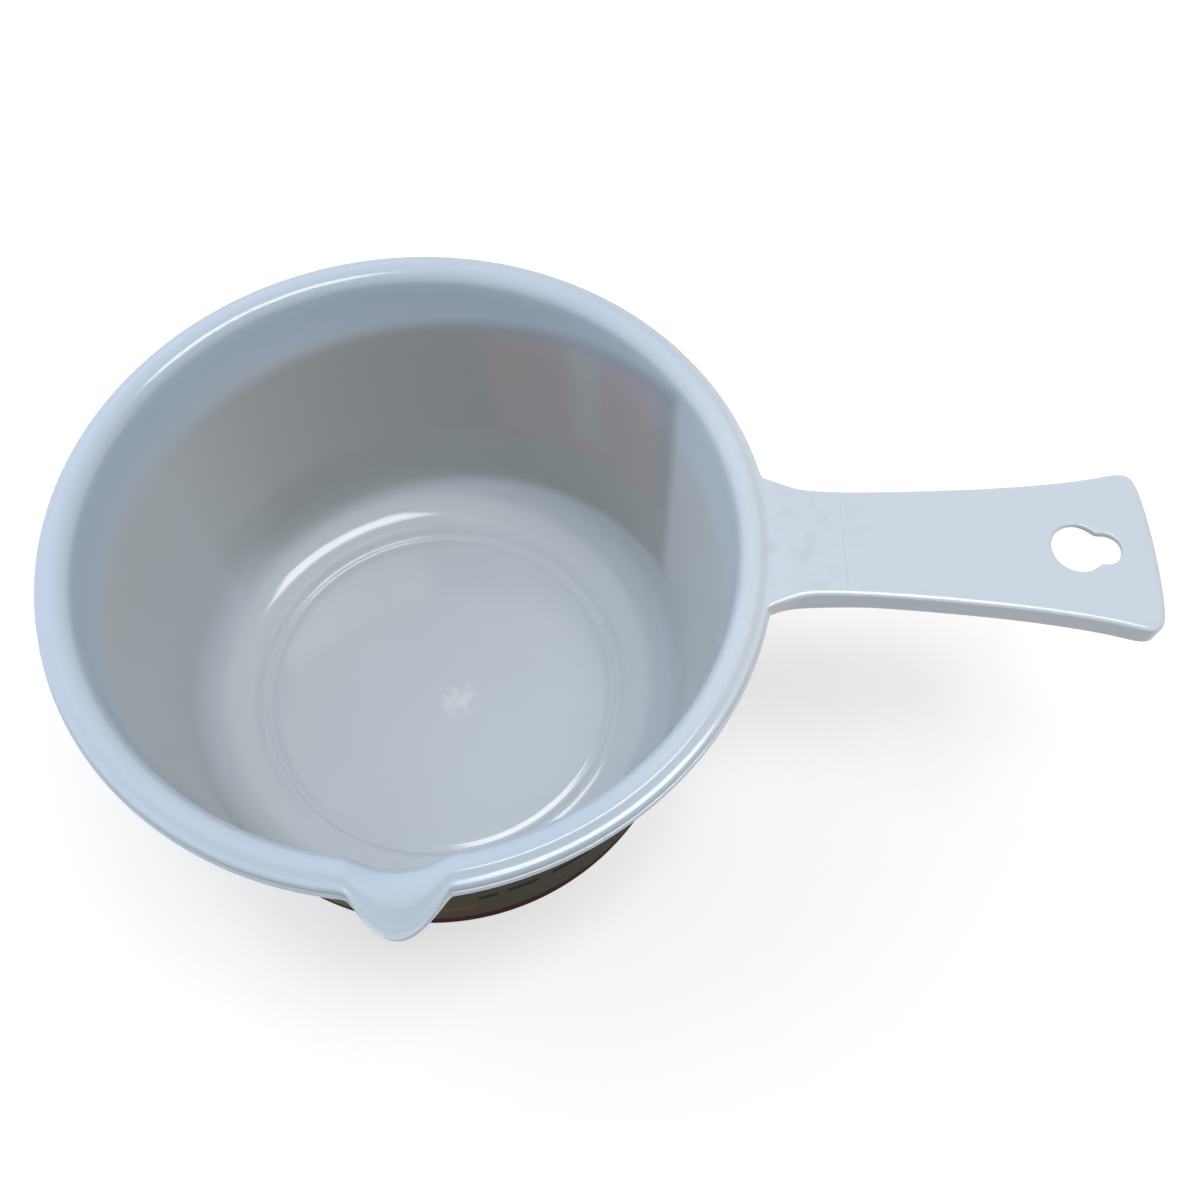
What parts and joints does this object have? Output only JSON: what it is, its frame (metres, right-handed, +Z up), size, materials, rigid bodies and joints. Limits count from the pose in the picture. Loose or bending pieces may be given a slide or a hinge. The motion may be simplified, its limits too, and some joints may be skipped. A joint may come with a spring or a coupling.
{
  "type": "microwave saucepan",
  "caption": "Tapered white plastic saucepan for a microwave oven, with a rolled rim, a small pouring lip and a flat flared handle with a keyhole to hang it by.",
  "frame": {"origin": "centre of the foot ring, on the surface that the pan stands on and on the bowl's axis", "axes": "+X from the bowl's axis along the handle, +Z up, the pouring lip towards -Y"},
  "size_m": [0.2614, 0.1788, 0.094],
  "materials": {
    "white_polypropylene": "injection-moulded, polished mould, faint scuffs",
    "printed_paper": "coated paper, printed, with a dark border at its lower edge"
  },
  "bodies": {
    "root": {"bowl": "white_polypropylene", "handle": "white_polypropylene", "front_label": "printed_paper", "back_label": "printed_paper"}
  },
  "joints": []
}
